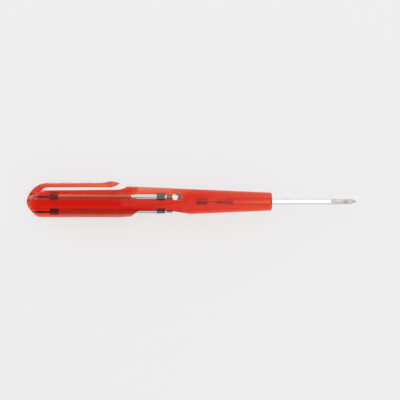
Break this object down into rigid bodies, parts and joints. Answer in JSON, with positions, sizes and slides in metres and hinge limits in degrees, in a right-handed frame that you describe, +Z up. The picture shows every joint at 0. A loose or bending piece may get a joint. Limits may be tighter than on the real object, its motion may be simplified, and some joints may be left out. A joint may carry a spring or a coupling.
{
  "type": "pocket screwdriver",
  "caption": "Pen-shaped pocket screwdriver: transparent red handle with a pocket clip, a double-ended blade in its hex socket, and spare blades stored in tunnels along the handle.",
  "frame": {"origin": "centre of the bounding box, at its bottom, where the barrel lies on a surface", "axes": "+X along the tool to the working tip, +Y towards the pocket clip, +Z up from the surface the tool lies on"},
  "size_m": [0.1728, 0.019, 0.0165],
  "materials": {
    "clear_red_plastic": "polished transparent red cellulose plastic",
    "magnet": "dark sintered magnet",
    "blade_steel": "bright chromed shaft with bare, darker ground ends"
  },
  "bodies": {
    "handle": {"handle": "clear_red_plastic", "socket_magnet": "magnet"},
    "driver_blade": {"driver_blade": "blade_steel"},
    "spare_blade_front": {"spare_blade_front": "blade_steel"},
    "spare_blade_rear": {"spare_blade_rear": "blade_steel"},
    "spare_blade_lower": {"spare_blade_lower": "blade_steel"}
  },
  "joints": [
    {"name": "driver_blade_slide", "type": "slide", "parent": "handle", "child": "driver_blade", "axis": [1, 0, 0], "range_m": [0, 0.035]},
    {"name": "spare_blade_front_slide", "type": "slide", "parent": "handle", "child": "spare_blade_front", "axis": [-1, 0, 0], "range_m": [0, 0.082]},
    {"name": "spare_blade_rear_slide", "type": "slide", "parent": "handle", "child": "spare_blade_rear", "axis": [-1, 0, 0], "range_m": [0, 0.082]},
    {"name": "spare_blade_lower_slide", "type": "slide", "parent": "handle", "child": "spare_blade_lower", "axis": [-1, 0, 0], "range_m": [0, 0.082]}
  ]
}
